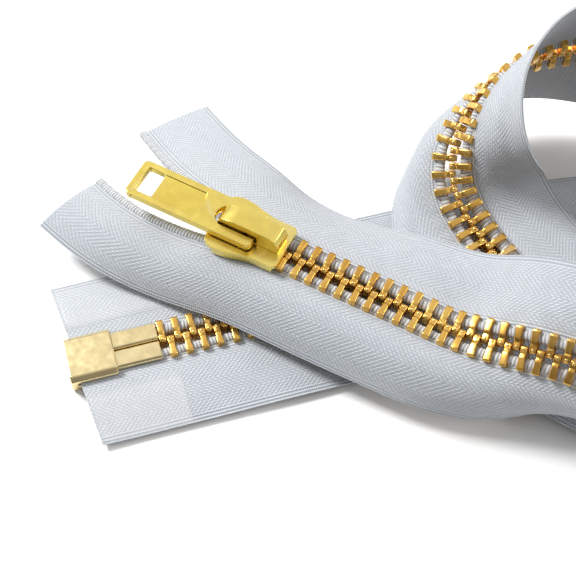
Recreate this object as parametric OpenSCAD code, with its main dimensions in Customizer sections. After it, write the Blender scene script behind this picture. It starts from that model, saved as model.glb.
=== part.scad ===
// Open-end separating metal zipper, closed, its strip laid in one loose loop.
// Stations along the chain carry the tapes, cords and teeth.
// Frame: +Z up, -X the way the slider faces, origin under the retainer box at table height.
// "Left" and "right" are as seen when walking up the chain from the box, face up.

/* [Chain] */
// Distance between neighbouring teeth of one row
tooth_pitch = 3.6; // [3.4:0.1:3.8]
// Height of a tooth from front to back
tooth_h = 3.6; // [3.4:0.1:3.8]
// Thickness of a tooth along the chain
tooth_t = 1.5; // [1.2:0.05:1.5]
// Reach of a tooth from the centre line out to its foot
tooth_reach = 4.7; // [4.6:0.05:4.8]
// Diameter of the bead cord in each tape's inner edge
cord_d = 1.8; // [1.5:0.1:1.8]

/* [Tape] */
// Thickness of the woven tape
tape_t = 0.6; // [0.4:0.1:0.6]
// Distance from the centre line to a tape's outer edge
tape_reach = 21; // [20:0.5:22]
// Thickness of the clear film on the tape ends
film_t = 0.15; // [0.1:0.05:0.2]
// Length of the film along the strip
film_l = 22; // [16:1:24]

/* [Slider] */
// Length of the slider body
slider_l = 18; // [18:0.5:19]
// Distance that the slider travels down the chain
travel = 32; // [20:1:32]
// Thickness of the upper and lower plates
plate_t = 1.2; // [1:0.1:1.4]
// Width of the crown cap
crown_w = 4.6; // [4.4:0.1:4.8]
// Length of the pull tab from its pivot end to its tip
pull_l = 32.5; // [30:0.5:36]
// Width of the pull tab
pull_w = 10; // [10:0.5:11]
// Thickness of the pull tab
pull_t = 1.8; // [1.4:0.1:2]
// Swing of the pull tab (0 is forward)
pull_angle = 0; // [0:5:160]

/* [Bottom end] */
// Length of the retainer box along the chain
box_l = 10.8; // [10.4:0.2:11.2]
// Width of the retainer box
box_w = 11.6; // [11.6:0.2:12]
// Height of the retainer box
box_h = 5; // [5:0.1:5.2]
// Length of the box pin and the insertion pin
pin_l = 19; // [17:1:20]

/* [Hidden] */

fit_gap = 0.18;        // clearance between neighbouring pieces
chain_z = box_h / 2;   // height of the chain's middle where the strip lies flat
box_heading = 43.5;     // direction of the strip at the box end
box_step = 20.6;       // distance between the stations of that straight run
low_point = [61.5, 38.6, 14];   // where the slider's tail stops at the end of its travel
ring_step = 3.7;       // distance between the cross sections of a tape
table_per_span = 6;    // samples between two stations in the arc-length table
LEFT = 1;
RIGHT = -1;

gold = "gold";
brass = "goldenrod";
pale_brass = "khaki";
tape_grey = "lightsteelblue";

// ---------- stations: [x, y, z, left_x, left_y, left_z, droop_left, droop_right] ----------
// left_* points towards the left tape. droop_* is how far a tape sags from the chain's plane.

box_run = [for (k = [0 : 5])
    [(k * box_step - 3.6) * cos(box_heading), (k * box_step - 3.6) * sin(box_heading), chain_z,
     -sin(box_heading), cos(box_heading), 0, 6, 6]];

loop_run = [
    [ 87,   80,    2.5, -0.6,  0.75, 0,     6,  6],
    [ 98,   88.5,  5,   -0.55, 0.8, -0.15,  6,  6],
    [110,   95.5, 10.5, -0.3,  0.8, -0.4,   4,  4],
    [122,   98,   17,   -0.05, 0.65,-0.7,   2,  4],
    [134,   93,   19.5,  0.4,  0.45,-0.8,   2,  4],
    [139,   81,   19.5,  0.65,-0.05,-0.75,  2,  4],
    [136,   68,   17.5,  0.6, -0.4, -0.7,   2,  4],
    [127,   59,   13.5,  0.4, -0.75,-0.5,   3,  4],
    [115,   55,   10,    0.15,-0.95,-0.3,   4,  5],
    [103,   54.5,  7.5,  0,   -1,   -0.15,  5,  5],
    [ 92,   56,    7,   -0.15,-1,   -0.1,   5,  5],
    [ 82,   59,    7.4, -0.35,-0.92,-0.12,  5,  5],
    [ 73.5, 62.8,  8,   -0.45,-0.87,-0.1,   4,  4],
    [ 66.5, 66.3,  8.7, -0.5, -0.85,-0.08,  4,  2],
    [ 62,   68.9,  9.8, -0.55,-0.8, -0.15,  4,  0],
    [ 58.3, 71.2, 11.5, -0.6, -0.72,-0.25, 20,  0],
    [ 55,   74,   14,   -0.66,-0.6, -0.38, 42,  0],
    [ 52.6, 77.8, 17.5, -0.7, -0.42,-0.52, 58,  0],
    [ 51.6, 82,   21,   -0.7, -0.22,-0.65, 60,  0],
    [ 51.8, 88.5, 25,   -0.6, -0.05,-0.78, 45,  0],
    [ 54.5, 97,   28.5, -0.45, 0.05,-0.88, 20,  2],
    [ 60.5,105.5, 30.5, -0.28, 0.05,-0.95,  4,  2],
    [ 69.5,112.5, 31.2, -0.12, 0,   -1,     2,  2],
    [ 81,  117.5, 30.5, -0.04, 0,   -1,     2,  2],
    [ 94,  121,   28,    0,    0,   -1,     2,  2],
    [107,  122.5, 25,    0,    0,   -1,     2,  2],
    [121,  121,   22.8,  0,    0,   -1,     2,  2],
    [136,  115,   21.8,  0,    0,   -1,     2,  2],
    [149,  103,   21.7,  0,    0,   -1,     2,  2],
    [156,   87,   21.7,  0,    0,   -1,     2,  2],
    [155.5, 71,   21.7,  0,    0,   -1,     2,  2],
    [148,   57,   21.7,  0.05,-0.05,-1,     4,  6],
    [136,   47,   22,    0.1, -0.15,-1,    15, 12],
    [122,   41.5, 22.3,  0.1, -0.35,-0.9,  45, 20],
    [109,   39.8, 22,    0.1, -0.6, -0.75, 75, 24],
    [ 98,   39.8, 21.3,  0.05,-0.72,-0.68, 82, 24],
    [ 89,   39.3, 19.6,  0,   -0.81,-0.58, 66, 16],
    [ 80.5, 38.8, 16.8,  0,   -0.93,-0.36, 55,  5]];

// Sag of the two tapes along the straight stretch, by distance up the chain from the low point
left_sag = [[-9, 48], [0, 48], [10, 46], [20, 44], [50, 46]];
right_sag = [[-9, 0], [0, 2], [10, 12], [20, 28], [30, 34], [40, 24], [50, 12]];

// Straight stretch that the slider runs on
function straight_row(x, shift = 0) =
    [low_point[0] - x, low_point[1] - shift, low_point[2], 0, -1, 0,
     lookup(x, left_sag), lookup(x, right_sag)];

lower_route = concat(box_run, loop_run, [for (x = [-9, 0, 10]) straight_row(x)]);
lower_end = len(lower_route) - 2;      // the last row only steers the curve

// Row spread inside the slider's mouth, x measured from the slider's tail
spread_start = 9;
mouth_spread = 1.75;
function spread(x) = x < spread_start ? 0
    : mouth_spread * pow((x - spread_start) / (slider_l - spread_start), 1.4);

function slider_rows(side) = concat([for (x = [-10 : 10 : 30]) straight_row(x)],
    [for (x = [8, 10.5, 13, 15.5, 18]) straight_row(travel + x, side * spread(x))]);

left_top_route = concat(slider_rows(LEFT), [
    [  4,   36.5, 13.4, -0.02,-0.97,-0.12, 45, 10],
    [ -6,   37.2, 11.7, -0.1, -0.97, 0.05, 38, 10],
    [-14.5, 39.5,  9.7, -0.25,-0.97, 0.1,  20, 10],
    [-20.2, 41.7,  8.4, -0.36,-0.93, 0.12, 15,  8]]);
right_top_route = concat(slider_rows(RIGHT), [
    [  4,   42.2, 13.3, -0.15,-0.97, 0.05,  8, 10],
    [ -5,   45.4, 11.5, -0.3, -0.95, 0.03,  8,  8],
    [-13.3, 49.6,  9,   -0.36,-0.93, 0,     8,  8],
    [-22,   54.8,  6.5, -0.4, -0.92, 0,     8,  8]]);
top_start = 1;                          // the first row of a top route only steers the curve

// ---------- curve through the stations ----------

function unit(v) = v / norm(v);
function xyz(row) = [row[0], row[1], row[2]];
function row_at(p, i) = i < 0 ? 2 * p[0] - p[1]
    : i >= len(p) ? 2 * p[len(p) - 1] - p[len(p) - 2] : p[i];
function blend4(a, b, c, d, t) =
    0.5 * (2 * b + (c - a) * t + (2 * a - 5 * b + 4 * c - d) * t * t
           + (3 * b - a - 3 * c + d) * t * t * t);
// The route's row at station number u, which need not be whole
function along(p, u) = let (i = min(floor(u), len(p) - 2))
    blend4(row_at(p, i - 1), p[i], p[i + 1], row_at(p, i + 2), u - i);

// Matrix of the strip's frame: x up the chain, y to the left, z out of the face
function frame(p, u) = let (
        e = 0.01,
        row = along(p, u),
        t = unit(xyz(along(p, min(u + e, len(p) - 1))) - xyz(along(p, max(u - e, 0)))),
        raw = [row[3], row[4], row[5]],
        w = unit(raw - (raw * t) * t),
        n = cross(t, w))
    [[t[0], w[0], n[0], row[0]], [t[1], w[1], n[1], row[1]], [t[2], w[2], n[2], row[2]],
     [0, 0, 0, 1]];

// Table of [arc length, station number]
function arc_table(p) = let (
        n = table_per_span,
        q = [for (i = [0 : n * (len(p) - 1)]) xyz(along(p, i / n))])
    [for (i = 0, s = 0; i < len(q);
          i = i + 1, s = s + (i < len(q) ? norm(q[i] - q[i - 1]) : 0)) [s, i / n]];
function flip(table) = [for (r = table) [r[1], r[0]]];

lower_arc = arc_table(lower_route);
lower_len = lookup(lower_end, flip(lower_arc));
left_arc = arc_table(left_top_route);
right_arc = arc_table(right_top_route);

// ---------- sweeps ----------

// Closed tube through equal rings of points
module tube(rings) {
    n = len(rings[0]);
    last = len(rings) - 1;
    points = [for (r = rings) each r];
    sides = [for (i = [0 : last - 1]) for (j = [0 : n - 1]) let (k = (j + 1) % n)
        each [[i * n + j, (i + 1) * n + j, (i + 1) * n + k],
              [i * n + j, (i + 1) * n + k, i * n + k]]];
    polyhedron(points, concat(sides,
        [[for (j = [0 : n - 1]) j], [for (j = [n - 1 : -1 : 0]) last * n + j]]));
}

function place(m, y, z) = let (v = m * [0, y, z, 1]) [v[0], v[1], v[2]];
function ordered(side, ring) = side == LEFT ? ring : [for (i = [len(ring) - 1 : -1 : 0]) ring[i]];

// Middle line of a tape across the strip: flat by the teeth, then sagging in two steps
flat_reach = 8;
function tape_line(droop) = let (
        run = (tape_reach - flat_reach) / 2,
        a = [flat_reach, 0],
        b = a + run * [cos(droop * 0.6), -sin(droop * 0.6)],
        c = b + run * [cos(droop * 1.3), -sin(droop * 1.3)])
    [[tooth_reach - 0.4, 0], a, b, c];

function tape_ring(m, side, droop, low, high) = let (line = tape_line(droop))
    ordered(side, concat([for (q = line) place(m, side * q[0], q[1] + high)],
                         [for (i = [3 : -1 : 0]) place(m, side * line[i][0], line[i][1] + low)]));

// Station numbers about `step` apart along the curve, from first to last
function ring_stations(p, first, last, step) = let (
        table = arc_table(p), back = flip(table),
        s0 = lookup(first, back), s1 = lookup(last, back), count = ceil((s1 - s0) / step))
    [for (i = [0 : count]) i == 0 ? first : i == count ? last : lookup(s0 + (s1 - s0) * i / count, table)];

function droop_at(p, u, side) = along(p, u)[side == LEFT ? 6 : 7];

module tape(p, side, first, last, low = -tape_t / 2, high = tape_t / 2) {
    tube([for (u = ring_stations(p, first, last, ring_step))
        tape_ring(frame(p, u), side, droop_at(p, u, side), low, high)]);
}

cord_y = 3.3;          // middle of the bead cord, out from the centre line
module cord(p, side, first, last) {
    tube([for (u = ring_stations(p, first, last, tooth_pitch)) let (m = frame(p, u))
        ordered(side, [for (k = [5 : -1 : 0])
            place(m, side * (cord_y + cord_d / 2 * cos(k * 60)), cord_d / 2 * sin(k * 60))])]);
}

// ---------- teeth ----------

cord_hole = cord_d / 2 + fit_gap;
slot_half = tape_t / 2 + fit_gap;
overlap = 0.6;         // reach of a tooth's head past the centre line
head_h = 2.8;          // height of the head that meshes with the other row

// Half of a clamp's profile above the tape: it closes round the cord and lets the tape out
function cord_mouth(reach) = [
    [reach, slot_half], [cord_y + cord_hole * 0.9, slot_half],
    [cord_y + cord_hole * 0.5, cord_hole], [cord_y - cord_hole * 0.6, cord_hole],
    [cord_y - cord_hole - 0.1, 0.2]];
function both_sides(half) = concat(half, [for (i = [len(half) - 1 : -1 : 0]) [half[i][0], -half[i][1]]]);
function clamp_profile(top, reach) = both_sides(concat(top, cord_mouth(reach)));

tooth_top = [[-overlap, head_h / 2], [1.2, head_h / 2], [1.6, tooth_h / 2], [tooth_reach, tooth_h / 2]];

// Extrudes a profile drawn in y and z along x, centred
module across(length) multmatrix([[0, 0, 1, -length / 2], [1, 0, 0, 0], [0, 1, 0, 0]])
    linear_extrude(length) children();

module clamp(side, top, reach, length)
    across(length) polygon([for (q = clamp_profile(top, reach)) [side * q[0], q[1]]]);

module teeth(p, table, side, positions)
    for (s = positions) multmatrix(frame(p, lookup(s, table)))
        clamp(side, tooth_top, tooth_reach, tooth_t);

chain_start = pin_l + 1.2;             // first tooth, up the strip from the tape's end
function down_from(s, first) = [for (q = [s : -tooth_pitch : first]) q];
function up_to(first, last) = [for (s = [first : tooth_pitch : last]) s];
left_phase = 0.25 * tooth_pitch;
right_phase = 0.75 * tooth_pitch;
top_base = 10;                         // arc length of the low point on a top route
last_tooth = 11.5;                     // highest tooth, up from the slider's tail

module left_teeth() color(brass)
    teeth(lower_route, lower_arc, LEFT, down_from(lower_len - left_phase, chain_start));
module right_teeth() color(brass)
    teeth(lower_route, lower_arc, RIGHT, down_from(lower_len - right_phase, chain_start));
module left_top_teeth() color(brass) teeth(left_top_route, left_arc, LEFT,
    up_to(top_base + right_phase, top_base + travel + last_tooth));
module right_top_teeth() color(brass) teeth(right_top_route, right_arc, RIGHT,
    up_to(top_base + left_phase, top_base + travel + last_tooth));

// ---------- tapes and cords ----------

seam = 0.01;           // stations left free between the lower and the upper tapes
module left_tape() color(tape_grey) tape(lower_route, LEFT, 0, lower_end - seam);
module right_tape() color(tape_grey) tape(lower_route, RIGHT, 0, lower_end - seam);
module left_cord() color("whitesmoke") cord(lower_route, LEFT, 0, lower_end - seam);
module right_cord() color("whitesmoke") cord(lower_route, RIGHT, 0, lower_end - seam);
module left_top_tape() color(tape_grey)
    tape(left_top_route, LEFT, top_start, len(left_top_route) - 1);
module right_top_tape() color(tape_grey)
    tape(right_top_route, RIGHT, top_start, len(right_top_route) - 1);
module left_top_cord() color("whitesmoke")
    cord(left_top_route, LEFT, top_start, len(left_top_route) - 1);
module right_top_cord() color("whitesmoke")
    cord(right_top_route, RIGHT, top_start, len(right_top_route) - 1);

// Clear film welded on the face of each tape end, outside the box and pins
film_start = 8.4;
module end_film(side) {
    m = frame(lower_route, 0);
    line = tape_line(6);
    multmatrix(m) translate([film_l / 2 + 0.1, 0, 0]) across(film_l - 0.2)
        polygon([[side * film_start, film_z(film_start)], [side * line[2][0], line[2][1] + tape_t / 2 + 0.02],
                 [side * (line[3][0] - 0.1), line[3][1] + tape_t / 2 + 0.03],
                 [side * (line[3][0] - 0.1), line[3][1] + tape_t / 2 + 0.03 + film_t],
                 [side * line[2][0], line[2][1] + tape_t / 2 + 0.02 + film_t],
                 [side * film_start, film_z(film_start) + film_t]]);
}
function film_z(y) = -(y - flat_reach) * tan(6 * 0.6) + tape_t / 2 + 0.02;
module left_end_film() color("aliceblue", 0.5) end_film(LEFT);
module right_end_film() color("aliceblue", 0.5) end_film(RIGHT);

// ---------- stops, pins and retainer box ----------

// Top stop: a stout U clamped over the cord
stop_l = 3.4;
module top_stop(p, table, side) {
    top = [[0.8, 0.9], [1.5, tooth_h / 2 - 0.05], [tooth_reach - 0.5, tooth_h / 2 - 0.05],
           [tooth_reach - 0.1, tooth_h / 2 - 0.5]];
    multmatrix(frame(p, lookup(top_base + travel + 14.8, table)))
        clamp(side, top, tooth_reach - 0.1, stop_l);
}
module left_top_stop() color(brass) top_stop(left_top_route, left_arc, LEFT);
module right_top_stop() color(brass) top_stop(right_top_route, right_arc, RIGHT);

// A pin clamped along the end of a cord
module end_pin(side) {
    top = [[0.12, tooth_h / 2 - 0.5], [0.6, tooth_h / 2], [tooth_reach - 0.5, tooth_h / 2],
           [tooth_reach - 0.05, tooth_h / 2 - 0.5]];
    multmatrix(frame(lower_route, 0)) translate([pin_l / 2 + 0.3, 0, 0])
        clamp(side, top, tooth_reach - 0.05, pin_l);
}
module box_pin() color(pale_brass) end_pin(RIGHT);
module insertion_pin() color(pale_brass) end_pin(LEFT);

// Box open towards the chain, with a slot for each tape in its sides
module retainer_box() color(pale_brass) multmatrix(frame(lower_route, 0))
    translate([box_l / 2 - 1.8, 0, 0]) difference() {
        across(box_l) polygon(box_outline());
        translate([1.8, 0, 0]) across(box_l)
            square([2 * (tooth_reach + fit_gap), tooth_h + 2 * fit_gap], center = true);
        translate([1.7, 0, 0]) across(box_l) square([box_w + 2, 2 * slot_half + 0.1], center = true);
    }
function box_outline() = let (y = box_w / 2, z = box_h / 2, c = 1.1) [
    [y, z - c], [y - c, z], [c - y, z], [-y, z - c],
    [-y, 0.5 - z], [0.5 - y, -z], [y - 0.5, -z], [y, 0.5 - z]];

// ---------- slider, drawn with its tail at x = 0 and its mouth at +x ----------

channel_h = 4;         // inside height between the plates
wall_t = 0.9;
guide_gap = 0.7;       // half the slot left for the tapes between the flanges
tail_half = tooth_reach + 0.3 + wall_t;
mouth_half = tooth_reach + mouth_spread + 0.15 + wall_t;
pivot_x = 8;           // pull tab's pivot
pivot_z = 4.7;
crown_first = 1.2;
crown_last = 16.2;
crown_z = 8;           // top of the crown
plate_z = channel_h / 2 + plate_t;

module on_slider() translate(low_point - [travel, 0, 0]) rotate([0, 0, 180]) children();

function ease(x) = x <= 0 ? 0 : x >= 1 ? 1 : x * x * (3 - 2 * x);
function half_width(x) = tail_half + (mouth_half - tail_half) * ease((x - 5.5) / 8.5);
outline_x = [0.8 : 1.6 : slider_l - 2.4];
function plate_side() = concat([[0, tail_half - 0.8]],
    [for (x = outline_x) [x, half_width(x)]],
    [[slider_l - 1, mouth_half - 0.5], [slider_l - 0.2, mouth_half - 1.6],
     [slider_l, mouth_half - 3], [slider_l - 0.4, 2.2], [slider_l - 0.8, 0.9]]);
module plate_outline() polygon(both_sides(plate_side()));
function flange_x() = [for (x = outline_x) if (x < slider_l - 2) x];
module flange_outline(side) polygon([for (q = concat(
        [for (x = flange_x()) [x, half_width(x) - 0.02]],
        [for (i = [len(flange_x()) - 1 : -1 : 0]) let (x = flange_x()[i]) [x, half_width(x) - wall_t]]))
    [q[0], side * q[1]]]);

// Body in one casting: two plates, four flanges, the diamond between the rows, two posts
module slider_body() color(gold) on_slider() difference() {
    union() {
        for (z = [channel_h / 2, -plate_z]) translate([0, 0, z]) linear_extrude(plate_t) plate_outline();
        for (side = [LEFT, RIGHT]) {
            translate([0, 0, guide_gap]) linear_extrude(plate_z - guide_gap - 0.1) flange_outline(side);
            translate([0, 0, 0.1 - plate_z]) linear_extrude(plate_z - guide_gap - 0.1) flange_outline(side);
        }
        translate([0, 0, 0.1 - plate_z]) linear_extrude(2 * plate_z - 0.2)
            polygon([[13.6, 0], [slider_l - 1.6, 0.75], [slider_l - 0.7, 0.8],
                     [slider_l - 0.7, -0.8], [slider_l - 1.6, -0.75]]);
        for (x = [2.4, 13.4]) translate([x, -1.3, plate_z - 0.1]) cube([1.6, 2.6, 2.9]);
    }
    translate([pawl_tip_x - 0.3, -0.8, 1.5]) cube([pawl_leg + 0.6, 1.6, plate_t + 1.5]);
}

// Crown cap: a long hood over the posts, with a window through its sides for the pull
module hood(first, last, top, width) translate([0, width / 2, 0]) rotate([90, 0, 0])
    linear_extrude(width) polygon([
        [first, plate_z + 0.05], [last, plate_z + 0.05], [last + 0.4, plate_z + 1.6],
        [last + 0.2, top - 2], [last - 0.6, top - 0.8], [last - 2, top - 0.2], [last - 4, top],
        [first + 4, top], [first + 2, top - 0.2], [first + 0.6, top - 0.8], [first - 0.2, top - 2],
        [first - 0.4, plate_z + 1.6]]);
module crown_cap() color(gold) on_slider() difference() {
    hood(crown_first, crown_last, crown_z, crown_w);
    translate([0, 0, -0.1]) hood(crown_first + 0.8, crown_last - 0.8, crown_z - 0.7, crown_w - 1.6);
    translate([pivot_x - 1.5, -crown_w, pivot_z - 1.2]) cube([3.2, 2 * crown_w, 2.5]);
}

// Locking pawl: a lever over the pull's crossbar with a leg down through the upper plate
pawl_pivot = [4.9, 6.15];
pawl_tip_x = 11;
pawl_leg = 1;
module pawl_plate() rotate([90, 0, 0]) linear_extrude(1.2, center = true) children();
module lock_pawl() color("darkgoldenrod") on_slider() pawl_plate() union() {
    translate([pawl_pivot[0], pawl_pivot[1]]) circle(r = 0.42, $fn = 32);
    polygon([[pawl_pivot[0], 5.85], [pawl_tip_x, 5.75], [pawl_tip_x, 2.15],
             [pawl_tip_x + pawl_leg - 0.3, 2.15], [pawl_tip_x + pawl_leg, 2.6],
             [pawl_tip_x + pawl_leg, 6.35], [pawl_pivot[0], 6.45]]);
}

// Leaf spring lying on the posts and pressing on the pawl
module lock_spring() color("silver") on_slider() rotate([90, 0, 0]) linear_extrude(2, center = true)
    polygon([[2.8, 6], [4, 6], [4.6, 6.65], [6, 6.78], [8.5, 6.63], [10.6, 6.44], [12.9, 6.6],
             [13.4, 6], [14.6, 6], [14.6, 6.25], [13.6, 6.25], [13.1, 6.85], [10.6, 6.69],
             [8.5, 6.88], [6, 7.03], [4.4, 6.9], [3.8, 6.25], [2.8, 6.25]]);

// Pull tab: a plate with a window at its tip, a slot for the crown and a crossbar as pivot
arm_gap = crown_w + 0.7;
slot_end = 9.9;        // end of the slot, from the pivot
window_l = 4.4;
window_w = pull_w - 3;
window_edge = 1.8;     // frame left at the tip
panel_start = 13.6;    // apex of the sunk panel's curved end, from the pivot
panel_depth = 0.35;
arm_tail = 1.1;        // how far the arms run on behind the pivot
module rounded(x0, x1, y, r) hull() for (x = [x0 + r, x1 - r], s = [-1, 1])
    translate([x, s * (y - r)]) circle(r = r, $fn = 32);
module pull_outline() difference() {
    rounded(-arm_tail, pull_l - arm_tail, pull_w / 2, 1.2);
    translate([slot_end - arm_gap / 2, 0]) circle(d = arm_gap, $fn = 48);
    translate([-arm_tail - 1, -arm_gap / 2]) square([slot_end - arm_gap / 2 + arm_tail + 1, arm_gap]);
    rounded(pull_l - arm_tail - window_edge - window_l, pull_l - arm_tail - window_edge, window_w / 2, 0.5);
}
module panel_outline() polygon(concat(
    [for (a = [-24 : 6 : 24]) [panel_start + 8.3 * (1 - cos(a)), -8.3 * sin(a)]],
    [for (s = [-1, 1]) [pull_l - arm_tail - window_edge, s * (window_w / 2 - 0.1)]]));
module pull_tab() color(gold) on_slider() translate([pivot_x, 0, pivot_z]) rotate([0, -pull_angle, 0]) {
    difference() {
        translate([0, 0, -pull_t / 2]) linear_extrude(pull_t) pull_outline();
        translate([0, 0, pull_t / 2 - panel_depth]) linear_extrude(1) panel_outline();
    }
    rotate([90, 0, 0]) cylinder(h = arm_gap + 1, r = 0.8, center = true, $fn = 48);
}

left_tape();
right_tape();
left_cord();
right_cord();
left_teeth();
right_teeth();
left_end_film();
right_end_film();
retainer_box();
box_pin();
insertion_pin();
left_top_tape();
left_top_cord();
left_top_teeth();
left_top_stop();
right_top_tape();
right_top_cord();
right_top_teeth();
right_top_stop();
slider_body();
crown_cap();
lock_spring();
lock_pawl();
pull_tab();
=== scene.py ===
import math
import random

import bpy
import numpy as np
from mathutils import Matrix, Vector


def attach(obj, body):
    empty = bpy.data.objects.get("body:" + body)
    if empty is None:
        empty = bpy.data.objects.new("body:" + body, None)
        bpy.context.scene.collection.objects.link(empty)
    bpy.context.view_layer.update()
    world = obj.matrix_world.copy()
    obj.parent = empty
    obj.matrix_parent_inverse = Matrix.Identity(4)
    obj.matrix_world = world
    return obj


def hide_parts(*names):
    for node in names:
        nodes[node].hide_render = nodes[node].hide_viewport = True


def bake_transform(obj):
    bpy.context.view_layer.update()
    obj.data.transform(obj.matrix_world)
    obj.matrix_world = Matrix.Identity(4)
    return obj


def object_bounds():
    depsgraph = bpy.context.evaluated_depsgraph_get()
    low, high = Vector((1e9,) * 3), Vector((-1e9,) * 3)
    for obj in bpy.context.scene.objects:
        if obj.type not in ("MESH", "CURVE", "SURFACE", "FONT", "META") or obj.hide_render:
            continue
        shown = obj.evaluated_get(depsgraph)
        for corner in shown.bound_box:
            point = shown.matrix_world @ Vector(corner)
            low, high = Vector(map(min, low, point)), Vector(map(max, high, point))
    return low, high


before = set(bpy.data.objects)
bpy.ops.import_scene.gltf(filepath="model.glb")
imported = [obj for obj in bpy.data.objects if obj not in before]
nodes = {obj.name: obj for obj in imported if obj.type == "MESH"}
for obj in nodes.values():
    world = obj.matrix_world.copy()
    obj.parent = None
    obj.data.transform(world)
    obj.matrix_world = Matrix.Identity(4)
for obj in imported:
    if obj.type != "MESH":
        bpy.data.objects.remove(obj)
cad_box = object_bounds()
MM = 0.001

# ---------- route of the strip, as in part.scad, in millimetres ----------
# rows: x, y, z, left_x, left_y, left_z, droop_left, droop_right
TOOTH_PITCH = 3.6
TAPE_START, TAPE_REACH = 2.6, 21.0    # inner and free edge of a tape, from the chain's middle
CORD_Y = 3.3                          # middle of the bead cord
PIN_L, TRAVEL = 19.0, 32.0            # length of the box pins, travel of the slider
LOW = (61.5, 38.6, 14.0)              # low point, where the top ends turn as the slider travels
BOX_HEADING, BOX_STEP = math.radians(43.5), 20.6
BOX_START, CHAIN_Z = -3.6, 2.5        # first station of the box end, height of the flat chain
LEFT, RIGHT = 1, -1

LOOP_RUN = [
    (87, 80, 2.5, -0.6, 0.75, 0, 6, 6),
    (98, 88.5, 5, -0.55, 0.8, -0.15, 6, 6),
    (110, 95.5, 10.5, -0.3, 0.8, -0.4, 4, 4),
    (122, 98, 17, -0.05, 0.65, -0.7, 2, 4),
    (134, 93, 19.5, 0.4, 0.45, -0.8, 2, 4),
    (139, 81, 19.5, 0.65, -0.05, -0.75, 2, 4),
    (136, 68, 17.5, 0.6, -0.4, -0.7, 2, 4),
    (127, 59, 13.5, 0.4, -0.75, -0.5, 3, 4),
    (115, 55, 10, 0.15, -0.95, -0.3, 4, 5),
    (103, 54.5, 7.5, 0, -1, -0.15, 5, 5),
    (92, 56, 7, -0.15, -1, -0.1, 5, 5),
    (82, 59, 7.4, -0.35, -0.92, -0.12, 5, 5),
    (73.5, 62.8, 8, -0.45, -0.87, -0.1, 4, 4),
    (66.5, 66.3, 8.7, -0.5, -0.85, -0.08, 4, 2),
    (62, 68.9, 9.8, -0.55, -0.8, -0.15, 4, 0),
    (58.3, 71.2, 11.5, -0.6, -0.72, -0.25, 20, 0),
    (55, 74, 14, -0.66, -0.6, -0.38, 42, 0),
    (52.6, 77.8, 17.5, -0.7, -0.42, -0.52, 58, 0),
    (51.6, 82, 21, -0.7, -0.22, -0.65, 60, 0),
    (51.8, 88.5, 25, -0.6, -0.05, -0.78, 45, 0),
    (54.5, 97, 28.5, -0.45, 0.05, -0.88, 20, 2),
    (60.5, 105.5, 30.5, -0.28, 0.05, -0.95, 4, 2),
    (69.5, 112.5, 31.2, -0.12, 0, -1, 2, 2),
    (81, 117.5, 30.5, -0.04, 0, -1, 2, 2),
    (94, 121, 28, 0, 0, -1, 2, 2),
    (107, 122.5, 25, 0, 0, -1, 2, 2),
    (121, 121, 22.8, 0, 0, -1, 2, 2),
    (136, 115, 21.8, 0, 0, -1, 2, 2),
    (149, 103, 21.7, 0, 0, -1, 2, 2),
    (156, 87, 21.7, 0, 0, -1, 2, 2),
    (155.5, 71, 21.7, 0, 0, -1, 2, 2),
    (148, 57, 21.7, 0.05, -0.05, -1, 4, 6),
    (136, 47, 22, 0.1, -0.15, -1, 15, 12),
    (122, 41.5, 22.3, 0.1, -0.35, -0.9, 45, 20),
    (109, 39.8, 22, 0.1, -0.6, -0.75, 75, 24),
    (98, 39.8, 21.3, 0.05, -0.72, -0.68, 82, 24),
    (89, 39.3, 19.6, 0, -0.81, -0.58, 66, 16),
    (80.5, 38.8, 16.8, 0, -0.93, -0.36, 55, 5)]
LEFT_SAG = [[-9, 48], [0, 48], [10, 46], [20, 44], [50, 46]]
RIGHT_SAG = [[-9, 0], [0, 2], [10, 12], [20, 28], [30, 34], [40, 24], [50, 12]]
LEFT_TOP_END = [
    (4, 36.5, 13.4, -0.02, -0.97, -0.12, 45, 10),
    (-6, 37.2, 11.7, -0.1, -0.97, 0.05, 38, 10),
    (-14.5, 39.5, 9.7, -0.25, -0.97, 0.1, 20, 10),
    (-20.2, 41.7, 8.4, -0.36, -0.93, 0.12, 15, 8)]
RIGHT_TOP_END = [
    (4, 42.2, 13.3, -0.15, -0.97, 0.05, 8, 10),
    (-5, 45.4, 11.5, -0.3, -0.95, 0.03, 8, 8),
    (-13.3, 49.6, 9, -0.36, -0.93, 0, 8, 8),
    (-22, 54.8, 6.5, -0.4, -0.92, 0, 8, 8)]


def straight_row(x, shift=0.0):
    """Row x up the straight part, from the low point, moved sideways by shift."""
    sag = [np.interp(x, *zip(*table)) for table in (LEFT_SAG, RIGHT_SAG)]
    return (LOW[0] - x, LOW[1] - shift, LOW[2], 0, -1, 0, *sag)


def slider_rows(side):
    """Rows of one top end, from below the low point to the slider's mouth, where the sides part."""
    rows = [straight_row(x) for x in (-10, 0, 10, 20, 30)]
    for x in (8, 10.5, 13, 15.5, 18):
        spread = 1.75 * (max(x - 9, 0) / 9) ** 1.4
        rows.append(straight_row(TRAVEL + x, side * spread))
    return rows


def box_row(k):
    c, s = math.cos(BOX_HEADING), math.sin(BOX_HEADING)
    x = k * BOX_STEP + BOX_START
    return (x * c, x * s, CHAIN_Z, -s, c, 0, 6, 6)


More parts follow.
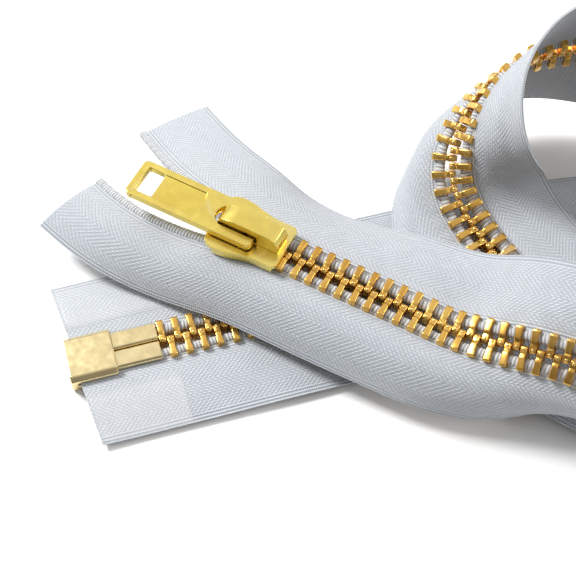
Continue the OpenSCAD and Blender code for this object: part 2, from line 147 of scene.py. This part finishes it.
class Route:
    """Catmull-Rom curve through the rows, read by distance along it, in millimetres."""

    def __init__(self, rows, first, last):
        p = np.array(rows, float)
        self.p = np.vstack([2 * p[0] - p[1], p, 2 * p[-1] - p[-2]])
        u = np.linspace(0, len(p) - 1, 12 * (len(p) - 1) + 1)
        points = self.row(u)[:, :3]
        s = np.concatenate([[0], np.cumsum(np.linalg.norm(np.diff(points, axis=0), axis=1))])
        self.u, self.s = u, s - np.interp(first, u, s)
        self.length = float(np.interp(last, u, self.s))

    def row(self, u):
        u = np.atleast_1d(u)
        i = np.clip(np.floor(u).astype(int), 0, len(self.p) - 4)
        t = (u - i)[:, None]
        a, b, c, d = (self.p[i + k] for k in range(4))
        return 0.5 * (2 * b + (c - a) * t + (2 * a - 5 * b + 4 * c - d) * t * t
                      + (3 * b - a - 3 * c + d) * t ** 3)

    def at(self, s):
        """Places, chain direction, left direction, face normal and the droops at distances s."""
        s = np.atleast_1d(np.asarray(s, float))
        u = np.interp(s, self.s, self.u)
        row = self.row(u)
        e = 0.01
        t = self.row(np.minimum(u + e, self.u[-1])) - self.row(np.maximum(u - e, 0))
        t = t[:, :3] / np.linalg.norm(t[:, :3], axis=1)[:, None]
        w = row[:, 3:6] - (row[:, 3:6] * t).sum(1)[:, None] * t
        w /= np.linalg.norm(w, axis=1)[:, None]
        place = row[:, :3] + np.minimum(s - self.s[0], 0)[:, None] * t
        return place, t, w, np.cross(t, w), row[:, 6], row[:, 7]


lower_rows = [box_row(k) for k in range(6)] + LOOP_RUN + [straight_row(x) for x in (-9, 0, 10)]
lower = Route(lower_rows, 0, len(lower_rows) - 2)
tops = {}
for side, end in ((LEFT, LEFT_TOP_END), (RIGHT, RIGHT_TOP_END)):
    rows = slider_rows(side) + end
    tops[side] = Route(rows, 1, len(rows) - 1)


# ---------- mesh helpers ----------

def new_piece(name, verts, faces, material, uvs=None, smooth=True):
    mesh = bpy.data.meshes.new(name)
    mesh.from_pydata([tuple(v) for v in verts], [], faces)
    mesh.polygons.foreach_set("use_smooth", [smooth] * len(mesh.polygons))
    if uvs is not None:
        layer = mesh.uv_layers.new(name="UVMap")
        index = np.zeros(len(mesh.loops), int)
        mesh.loops.foreach_get("vertex_index", index)
        layer.data.foreach_set("uv", np.asarray(uvs, float)[index].ravel())
    mesh.materials.append(material)
    mesh.validate()
    mesh.update()
    obj = bpy.data.objects.new(name, mesh)
    bpy.context.scene.collection.objects.link(obj)
    return obj


def grid_faces(rings, size, closed=False):
    faces = []
    for i in range(rings - 1):
        for j in range(size if closed else size - 1):
            k = (j + 1) % size
            faces.append((i * size + j, i * size + k, (i + 1) * size + k, (i + 1) * size + j))
    return faces


def add_modifier(obj, kind, **values):
    modifier = obj.modifiers.new(kind.title(), kind)
    for key, value in values.items():
        setattr(modifier, key, value)
    return modifier


# ---------- materials ----------

class Nodes:
    """Short calls for a node material."""

    def __init__(self, name):
        self.material = bpy.data.materials.new(name)
        self.material.use_nodes = True
        self.tree = self.material.node_tree
        self.shader = self.tree.nodes["Principled BSDF"]

    def link(self, source, target):
        if isinstance(source, bpy.types.NodeSocket):
            self.tree.links.new(source, target)
        else:
            target.default_value = source

    def add(self, kind, inputs=(), out=0, **values):
        node = self.tree.nodes.new(kind)
        for key, value in values.items():
            setattr(node, key, value)
        for key, value in dict(inputs).items():
            self.link(value, node.inputs[key])
        return node.outputs[out]

    def math(self, operation, *values):
        return self.add("ShaderNodeMath", dict(enumerate(values)), operation=operation)

    def ramp(self, value, low, high, to_low=0.0, to_high=1.0):
        return self.add("ShaderNodeMapRange", {0: value, 1: low, 2: high, 3: to_low, 4: to_high})

    def mix(self, factor, a, b):
        return self.add("ShaderNodeMix", {0: factor, 6: a, 7: b}, out=2, data_type="RGBA")

    def noise(self, scale, detail=3.0, vector=None, rough=0.55):
        inputs = {"Scale": scale, "Detail": detail, "Roughness": rough}
        if vector is not None:
            inputs["Vector"] = vector
        return self.add("ShaderNodeTexNoise", inputs)

    def position(self):
        return self.add("ShaderNodeTexCoord", out=3)

    def bump(self, height, strength, distance):
        return self.add("ShaderNodeBump", {"Height": height, "Strength": strength, "Distance": distance})

    def set(self, **values):
        for key, value in values.items():
            self.link(value, self.shader.inputs[key.replace("_", " ")])
        return self.material


def rgb(r, g, b):
    return (r, g, b, 1.0)


def woven_tape():
    """Herringbone tape. UV x is millimetres out from the chain, y millimetres along it, over 100."""
    n = Nodes("tape_weave")
    uv = n.add("ShaderNodeUVMap")
    split = n.tree.nodes.new("ShaderNodeSeparateXYZ")
    n.link(uv, split.inputs[0])
    across = n.math("MULTIPLY", split.outputs[0], 100.0)
    length = n.math("MULTIPLY", split.outputs[1], 100.0)
    wobble = n.math("MULTIPLY", n.math("SUBTRACT", n.noise(180.0, 2.0), 0.5), 0.25)
    band = n.math("PINGPONG", n.math("ADD", across, 0.9), 4.3)
    diagonal = n.math("ADD", n.math("ADD", length, n.math("MULTIPLY", band, 1.15)), wobble)
    twill = n.math("SINE", n.math("MULTIPLY", diagonal, 2 * math.pi / 1.2))
    warp = n.math("SINE", n.math("MULTIPLY", n.math("ADD", across, wobble), 2 * math.pi / 0.62))
    weft = n.math("SINE", n.math("MULTIPLY", length, 2 * math.pi / 0.5))
    dashes = n.math("MULTIPLY", twill, n.math("ADD", 0.6, n.math("MULTIPLY", warp, 0.4)))
    yarn = n.math("ADD", n.math("MULTIPLY", warp, 0.3), n.math("MULTIPLY", weft, 0.12))
    cloth = n.math("ADD", n.math("MULTIPLY", dashes, 0.75), yarn)
    rib = n.math("SINE", n.math("MULTIPLY", across, 2 * math.pi / 0.8))
    edge = n.ramp(across, 19.2, 19.6)
    inner = n.ramp(across, 5.6, 5.2)
    plain = n.math("MAXIMUM", edge, inner)
    height = n.math("ADD", n.math("MULTIPLY", cloth, n.math("SUBTRACT", 1.0, plain)),
                    n.math("MULTIPLY", n.math("ADD", rib, n.math("MULTIPLY", weft, 0.4)), plain))
    lift = n.ramp(height, -0.9, 1.2)
    patch = n.ramp(n.noise(22.0, 4.0), 0.35, 0.65)
    light = n.mix(patch, rgb(0.56, 0.59, 0.628), rgb(0.615, 0.648, 0.692))
    # painted shade: the low parts of the weave are coloured darker, as shade in its hollows, on top of the
    # bump
    colour = n.mix(n.ramp(lift, 0.0, 0.75), rgb(0.335, 0.362, 0.405), light)
    fuzz = n.noise(2600.0, 2.0)
    normal = n.bump(n.math("ADD", height, n.math("MULTIPLY", fuzz, 0.5)), 0.6, 0.00016)
    return n.set(Base_Color=colour, Roughness=n.ramp(fuzz, 0.3, 0.7, 0.72, 0.92), Normal=normal,
                 Sheen_Weight=0.35, Sheen_Roughness=0.45, Specular_IOR_Level=0.28)


def thread_cord():
    """Wound thread. UV x is the share of a turn round the cord, y millimetres along it over 100."""
    n = Nodes("cord_thread")
    uv = n.add("ShaderNodeUVMap")
    split = n.tree.nodes.new("ShaderNodeSeparateXYZ")
    n.link(uv, split.inputs[0])
    turn = n.math("ADD", n.math("MULTIPLY", split.outputs[1], 100.0 / 0.75), split.outputs[0])
    ply = n.math("SINE", n.math("MULTIPLY", turn, 2 * math.pi))
    fine = n.math("SINE", n.math("MULTIPLY", turn, 10 * math.pi))
    height = n.math("ADD", ply, n.math("MULTIPLY", fine, 0.25))
    # painted shade: the grooves between the plies are coloured darker, as shade, on top of the bump
    colour = n.mix(n.ramp(ply, -1.0, 0.2), rgb(0.26, 0.275, 0.30), rgb(0.64, 0.66, 0.685))
    return n.set(Base_Color=colour, Roughness=0.85, Normal=n.bump(height, 0.6, 0.00015),
                 Sheen_Weight=0.3, Specular_IOR_Level=0.25)


def worn_metal(name, dark, light, rough, wear=0.5):
    """Polished cast metal: slow colour drift, smears, hairline scratches, and a painted highlight that
    lightens the edges.
    """
    n = Nodes(name)
    place = n.position()
    drift = n.ramp(n.noise(90.0, 3.0, place), 0.32, 0.68)
    smear = n.ramp(n.noise(420.0, 5.0, place, 0.65), 0.3, 0.72)
    stretch = n.add("ShaderNodeMapping", {0: place, 3: (260.0, 2600.0, 2600.0)})
    hair = n.noise(1.0, 3.0, stretch, 0.7)
    tarnish = n.math("MULTIPLY", drift, wear)
    # painted highlight: sharp edges and bevels are coloured lighter and paler, as if catching light
    painted_edge_highlight = n.ramp(n.add("ShaderNodeNewGeometry", out="Pointiness"), 0.51, 0.58, 0.0, 0.45)
    edge_highlight_colour = tuple(0.7 * c + 0.3 for c in light)
    colour = n.mix(painted_edge_highlight, n.mix(tarnish, light, dark), edge_highlight_colour)
    roughness = n.math("ADD", n.math("MULTIPLY", smear, rough * 0.5), rough * 0.75)
    height = n.math("ADD", n.noise(2500.0, 2.0, place), n.math("MULTIPLY", hair, 0.8))
    return n.set(Base_Color=colour, Metallic=1.0, Roughness=roughness,
                 Normal=n.bump(height, 0.12, 0.00003))


def clear_film():
    """Thin clear plastic, a little wrinkled."""
    n = Nodes("film_clear")
    wrinkle = n.noise(240.0, 3.0, n.position())
    return n.set(Base_Color=rgb(0.95, 0.96, 0.97), Roughness=n.ramp(wrinkle, 0.3, 0.7, 0.1, 0.28),
                 Alpha=0.13, Normal=n.bump(wrinkle, 0.5, 0.00015))


def floor_material():
    n = Nodes("floor_paper")
    grain = n.noise(70.0, 4.0)
    colour = n.mix(grain, rgb(0.90, 0.90, 0.90), rgb(0.93, 0.93, 0.93))
    return n.set(Base_Color=colour, Roughness=0.85, Specular_IOR_Level=0.2)


TAPE, CORD = woven_tape(), thread_cord()
TEETH = worn_metal("teeth_brass", rgb(0.60, 0.29, 0.045), rgb(1.0, 0.64, 0.17), 0.26, 0.65)
STOPS = worn_metal("stop_brass", rgb(0.46, 0.24, 0.05), rgb(0.88, 0.56, 0.16), 0.24, 0.6)
PALE = worn_metal("fitting_brass", rgb(0.82, 0.62, 0.28), rgb(0.94, 0.78, 0.42), 0.24, 0.5)
GOLD = worn_metal("slider_gold", rgb(0.80, 0.52, 0.08), rgb(1.0, 0.80, 0.18), 0.24, 0.45)
STEEL = worn_metal("spring_steel", rgb(0.30, 0.30, 0.31), rgb(0.70, 0.70, 0.71), 0.25, 0.4)
PAWL = worn_metal("pawl_brass", rgb(0.34, 0.20, 0.06), rgb(0.75, 0.52, 0.20), 0.32, 0.6)
FILM = clear_film()


# ---------- tapes and cords ----------

TAPE_STEP, CORD_STEP = 1.25, 0.36     # spacing of the rings along a tape and a cord


def droop_path(droop, ys):
    """Sideways and downward distance of points ys along a tape's width, for a droop in degrees."""
    fine = np.linspace(TAPE_START, TAPE_REACH, 93)
    knots = (0, 6.5, 8.5, 11.25, 17.75, 21)
    angle = np.radians(droop) * np.interp(fine, knots, (0, 0, 0.22, 0.6, 1.3, 1.42))
    step = fine[1] - fine[0]
    out = TAPE_START + np.concatenate([[0], np.cumsum(np.cos(angle[:-1]) * step)])
    down = np.concatenate([[0], np.cumsum(np.sin(angle[:-1]) * step)])
    return np.interp(ys, fine, out), np.interp(ys, fine, down)


ACROSS = np.array([TAPE_START, 3.3, 4.2, 5.2, 6.2, 7.2, 8.4, 9.6, 10.8, 12, 13.2, 14.4, 15.6, 16.8,
                   18, 19.2, 20.2, 20.7, TAPE_REACH])


def ripple(s, y, phase):
    """Small soft unevenness of the tape, none at the chain and most at the free edge, in millimetres."""
    grow = np.clip((y - 8) / 13, 0, 1) ** 2
    return grow * (0.22 * np.sin(s / 9.0 + phase) + 0.13 * np.sin(s / 4.1 + 2 * phase + y / 6))


def rows_of(parts, step=TAPE_STEP):
    """Joins stretches of routes: (route, first, last, distance of its zero up the strip)."""
    out = []
    for route, first, last, base in parts:
        count = max(int(round((last - first) / step)), 2)
        s = np.linspace(first, last, count + 1)
        s = s[1:] if out else s
        p, t, w, n, left, right = route.at(s)
        out.append((s + base, p, t, w, n, left, right))
    return [np.concatenate(columns) for columns in zip(*out)]


def soften(grid, across):
    """Evens out a tape's outer width along the strip, so that it fans smoothly round bends."""
    out = grid.copy()
    for j, y in enumerate(across):
        reach = 6.5 * np.clip((y - 5.5) / 9, 0, 1)
        if reach < 0.3:
            continue
        k = np.arange(-16, 17)
        weight = np.exp(-0.5 * (k * TAPE_STEP / reach) ** 2)
        weight /= weight.sum()
        line = grid[:, j]
        ahead = 2 * line[0] - line[16:0:-1]
        after = 2 * line[-1] - line[-2:-18:-1]
        line = np.vstack([ahead, line, after])
        out[:, j] = sum(q * line[i:i + len(grid)] for i, q in enumerate(weight))
    return out


def tape_grid(side, parts, across, lift=0.0):
    """Points of a tape; its end at the box leans a little, as if cut by hand."""
    s, p, t, w, n, left, right = rows_of(parts)
    droop = left if side == LEFT else right
    grid = np.zeros((len(s), len(across), 3))
    for i in range(len(s)):
        out, down = droop_path(droop[i], across)
        wave = ripple(s[i], across, 0.7 if side == LEFT else 2.9)
        grid[i] = p[i] + side * out[:, None] * w[i] + (lift - down + wave)[:, None] * n[i]
    grid = soften(grid, across)
    lean = side * 0.12 * np.clip(1 - s / 24, 0, 1)[:, None] * (across - 4)
    return s, grid - lean[:, :, None] * t[:, None, :]


def tape_piece(name, side, s, grid, across, material):
    size = len(across)
    uvs = np.stack(np.broadcast_arrays(across[None] / 100, s[:, None] / 100), 2).reshape(-1, 2)
    faces = grid_faces(len(s), size)
    if side == LEFT:
        faces = [f[::-1] for f in faces]
    return new_piece(name, grid.reshape(-1, 3) * MM, faces, material, uvs)


def cord_piece(name, side, parts):
    """Bead cord wound from two plies, as a closed tube."""
    s, p, _, w, n, _, _ = rows_of(parts, CORD_STEP)
    size = 10
    angle = np.arange(size) * 2 * math.pi / size
    verts, uvs = [], []
    for i in range(len(s)):
        twist = angle + 2 * math.pi * s[i] / 2.2
        swell = 0.95 + 0.05 * np.cos(2 * twist)
        y = side * (CORD_Y - 0.3 + 1.2 * swell * np.cos(angle))
        z = 0.95 * swell * np.sin(angle)
        verts.extend((p[i] + y[:, None] * w[i] + z[:, None] * n[i]) * MM)
        uvs.extend(np.stack([np.arange(size) / size, np.full(size, s[i] / 100)], 1))
    faces = grid_faces(len(s), size, closed=True)
    last = (len(s) - 1) * size
    faces += [tuple(range(size)), tuple(last + j for j in reversed(range(size)))]
    if side == LEFT:
        faces = [f[::-1] for f in faces]
    return new_piece(name, verts, faces, CORD, uvs)


SPLIT = 11.0                          # the lower tapes end this far below the low point
TAPE_T, FILM_T, FILM_LIFT = 0.5, 0.1, 0.36
FILM_ROWS = 19                        # rings of the film, from the box end
for side, word in ((LEFT, "left"), (RIGHT, "right")):
    top = tops[side]
    base = lower.length
    cut = base - SPLIT
    root_parts = [(lower, 0, cut, 0)]
    top_parts = [(lower, cut, base, 0), (top, 0, top.length, base)]
    s, grid = tape_grid(side, root_parts + top_parts, ACROSS)
    k = int(np.searchsorted(s, cut - 0.01))
    root_tape = tape_piece(word + "_tape_cloth", side, s[:k + 1], grid[:k + 1], ACROSS, TAPE)
    top_tape = tape_piece(word + "_top_tape_cloth", side, s[k:], grid[k:], ACROSS, TAPE)
    root_cord = cord_piece(word + "_cord_thread", side, root_parts)
    top_cord = cord_piece(word + "_top_cord_thread", side, top_parts)
    for tape, length in ((root_tape, cut), (top_tape, top.length + SPLIT)):
        add_modifier(tape, "SOLIDIFY", thickness=TAPE_T * MM, offset=0.0)
        add_modifier(tape, "EDGE_SPLIT", split_angle=math.radians(50))
    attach(root_tape, "strip")
    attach(root_cord, "strip")
    for piece in (top_tape, top_cord):
        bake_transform(piece)
    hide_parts(word + "_tape")
    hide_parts(word + "_top_tape")
    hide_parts(word + "_cord")
    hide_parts(word + "_top_cord")

    film_y = np.array([8.6, 10.5, 12.5, 14.5, 16.5, 18.5, 20.4, 20.9])
    s, grid = tape_grid(side, [(lower, 0, 60, 0)], film_y, FILM_LIFT)
    film = tape_piece(word + "_film_skin", side, s[:FILM_ROWS], grid[:FILM_ROWS],
                      film_y, FILM)
    add_modifier(film, "SOLIDIFY", thickness=FILM_T * MM, offset=0.0)
    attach(film, "strip")
    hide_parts(word + "_end_film")


# ---------- teeth ----------

# stations out from the centre line: y, half thickness along the chain, half height
TOOTH = [(-0.62, 0.54, 1.0), (-0.5, 0.72, 1.25), (-0.2, 0.81, 1.4), (0.65, 0.82, 1.42), (1.0, 0.77, 1.4),
         (1.2, 0.72, 1.42), (1.45, 0.7, 1.7), (2.1, 0.7, 1.8), (3.3, 0.74, 1.8), (4.2, 0.82, 1.8),
         (4.6, 0.84, 1.76), (4.76, 0.74, 1.6)]


def tooth_mesh():
    """Rounded loft of one left tooth: x up the chain, y out, z through the face, in millimetres."""
    verts, faces = [], []
    corner = 0.24
    for y, a, h in TOOTH:
        b = min(corner, a * 0.6)
        ring = [(a, h - b), (a - b * 0.3, h - b * 0.3), (a - b, h), (b - a, h), (b * 0.3 - a, h - b * 0.3),
                (-a, h - b), (-a, b - h), (b * 0.3 - a, b * 0.3 - h), (b - a, -h), (a - b, -h),
                (a - b * 0.3, b * 0.3 - h), (a, b - h)]
        verts += [(x, y, z) for x, z in ring]
    size = 12
    faces = grid_faces(len(TOOTH), size, closed=True)
    last = (len(TOOTH) - 1) * size
    faces += [tuple(reversed(range(size))), tuple(last + j for j in range(size))]
    # a nub on each face of the head, where it meshes
    rings, spokes = 3, 10
    for face in (1, -1):
        start = len(verts)
        for r in range(rings):
            k = r / (rings - 1)
            radius, z = 0.42 * (1 - 0.62 * k), 1.38 + 0.2 * math.sin(k * math.pi / 2)
            verts += [(radius * math.cos(q), 0.1 + radius * math.sin(q), face * z)
                      for q in np.arange(spokes) * 2 * math.pi / spokes]
        ring_faces = [tuple(start + i for i in f) for f in grid_faces(rings, spokes, closed=True)]
        cap = tuple(start + (rings - 1) * spokes + j for j in range(spokes))
        ring_faces.append(cap)
        faces += ring_faces if face == 1 else [f[::-1] for f in ring_faces]
    return np.array(verts), faces


TOOTH_V, TOOTH_F = tooth_mesh()
random.seed(7)


def teeth_piece(name, side, route, positions):
    p, t, w, n, _, _ = route.at(np.array(positions))
    verts, faces = [], []
    for i in range(len(positions)):
        turn = math.radians(random.uniform(-1.6, 1.6))
        tt = math.cos(turn) * t[i] + math.sin(turn) * w[i]
        ww = math.cos(turn) * w[i] - math.sin(turn) * t[i]
        place = TOOTH_V[:, :1] * tt + side * TOOTH_V[:, 1:2] * ww + TOOTH_V[:, 2:] * n[i]
        base = len(verts)
        verts.extend((p[i] + place) * MM)
        faces += [tuple(base + k for k in (f if side == LEFT else f[::-1])) for f in TOOTH_F]
    return new_piece(name, verts, faces, TEETH)


LAST_TOOTH = 11.5                     # last tooth above the slider's travel
for side, word, low_phase, high_phase in ((LEFT, "left", 0.25, 0.75), (RIGHT, "right", 0.75, 0.25)):
    down = np.arange(lower.length - low_phase * TOOTH_PITCH, PIN_L + 1.2, -TOOTH_PITCH)
    up = np.arange(high_phase * TOOTH_PITCH, TRAVEL + LAST_TOOTH + 0.01, TOOTH_PITCH)
    for label, route, positions in (("", lower, down), ("_top", tops[side], up)):
        teeth = teeth_piece(word + label + "_teeth_cast", side, route, positions)
        add_modifier(teeth, "WEIGHTED_NORMAL", keep_sharp=True)
        if route is lower:
            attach(teeth, "strip")
        else:
            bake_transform(teeth)
        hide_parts(word + label + "_teeth")


# ---------- metal fittings: the CAD nodes themselves, with rolled edges ----------

def dress(name, material, width, segments=3, clamp=True):
    """Gives a CAD node its material and rolled edges of a width in millimetres."""
    obj = nodes[name]
    obj.data.materials.clear()
    obj.data.materials.append(material)
    obj.data.polygons.foreach_set("use_smooth", [True] * len(obj.data.polygons))
    add_modifier(obj, "WELD", merge_threshold=0.004 * MM)
    add_modifier(obj, "DECIMATE", decimate_type="DISSOLVE", angle_limit=math.radians(1.0))
    add_modifier(obj, "BEVEL", width=width * MM, segments=segments, limit_method="ANGLE",
                 angle_limit=math.radians(24), use_clamp_overlap=clamp)
    add_modifier(obj, "WEIGHTED_NORMAL", keep_sharp=False)


dress("slider_body", GOLD, 0.28)
dress("crown_cap", GOLD, 0.35, 4)
dress("pull_tab", GOLD, 0.165, 4, clamp=False)
dress("retainer_box", PALE, 0.3, 4)
dress("box_pin", PALE, 0.18)
dress("insertion_pin", PALE, 0.18)
dress("lock_spring", STEEL, 0.05, 2)
dress("lock_pawl", PAWL, 0.1, 2)
dress("left_top_stop", STOPS, 0.25)
dress("right_top_stop", STOPS, 0.25)


# ---------- floor, light and camera ----------

floor_z = min(0.0, cad_box[0].z) - 0.00005
bpy.ops.mesh.primitive_plane_add(size=6.0, location=(0.06, 0.06, floor_z))
floor = bpy.context.object
floor.name = "floor"
floor.data.materials.append(floor_material())


def area_light(name, energy, size, location, target, colour=(1, 1, 1)):
    data = bpy.data.lights.new(name, "AREA")
    data.energy, data.shape, data.size, data.size_y, data.color = energy, "RECTANGLE", *size, colour
    obj = bpy.data.objects.new(name, data)
    obj.location = location
    obj.rotation_euler = (Vector(target) - Vector(location)).to_track_quat("-Z", "Y").to_euler()
    bpy.context.scene.collection.objects.link(obj)


centre = Vector((0.05, 0.045, 0.01))
area_light("key", 8.5, (0.25, 0.25), (-0.58, 0.08, 0.6), centre)
area_light("back", 3.0, (0.5, 0.2), (0.75, 0.65, 0.5), centre)

world = bpy.data.worlds.new("studio")
bpy.context.scene.world = world
world.use_nodes = True
tree = world.node_tree
coords = tree.nodes.new("ShaderNodeTexCoord")
split = tree.nodes.new("ShaderNodeSeparateXYZ")
ramp = tree.nodes.new("ShaderNodeValToRGB")
tree.links.new(coords.outputs["Generated"], split.inputs[0])
tree.links.new(split.outputs[2], ramp.inputs[0])
bands = ((0.0, 0.70), (0.14, 0.35), (0.32, 0.42), (0.50, 0.70), (0.68, 0.90), (0.80, 0.78), (0.93, 0.70))
elements = ramp.color_ramp.elements
for i, (height, value) in enumerate(bands):
    element = elements[i] if i < 2 else elements.new(height)
    element.position, element.color = height, rgb(value, value * 0.985, value * 0.965)
front = tree.nodes.new("ShaderNodeMapRange")
front.inputs[1].default_value, front.inputs[2].default_value = -0.75, -0.05
front.inputs[3].default_value, front.inputs[4].default_value = 0.28, 1.0
tree.links.new(split.outputs[1], front.inputs[0])
tree.links.new(ramp.outputs[0], tree.nodes["Background"].inputs[0])
tree.links.new(front.outputs[0], tree.nodes["Background"].inputs[1])
bpy.context.scene.view_settings.view_transform = "Standard"

AZIMUTH, ELEVATION = math.radians(28), math.radians(59.5)
DISTANCE, FOCAL_OVER_WIDTH = 0.306, 1300 / 576
target = Vector((0.02985, 0.03864, 0.0))
back = Vector((math.sin(AZIMUTH) * math.cos(ELEVATION), -math.cos(AZIMUTH) * math.cos(ELEVATION),
               math.sin(ELEVATION)))
camera = bpy.data.objects.new("camera", bpy.data.cameras.new("camera"))
camera.location = target + back * DISTANCE
camera.rotation_mode = "QUATERNION"
camera.rotation_quaternion = (-back).to_track_quat("-Z", "Y")
camera.data.sensor_width = 36.0
camera.data.lens = 36.0 * FOCAL_OVER_WIDTH
camera.data.clip_start, camera.data.clip_end = 0.01, 20.0
bpy.context.scene.collection.objects.link(camera)
bpy.context.scene.camera = camera
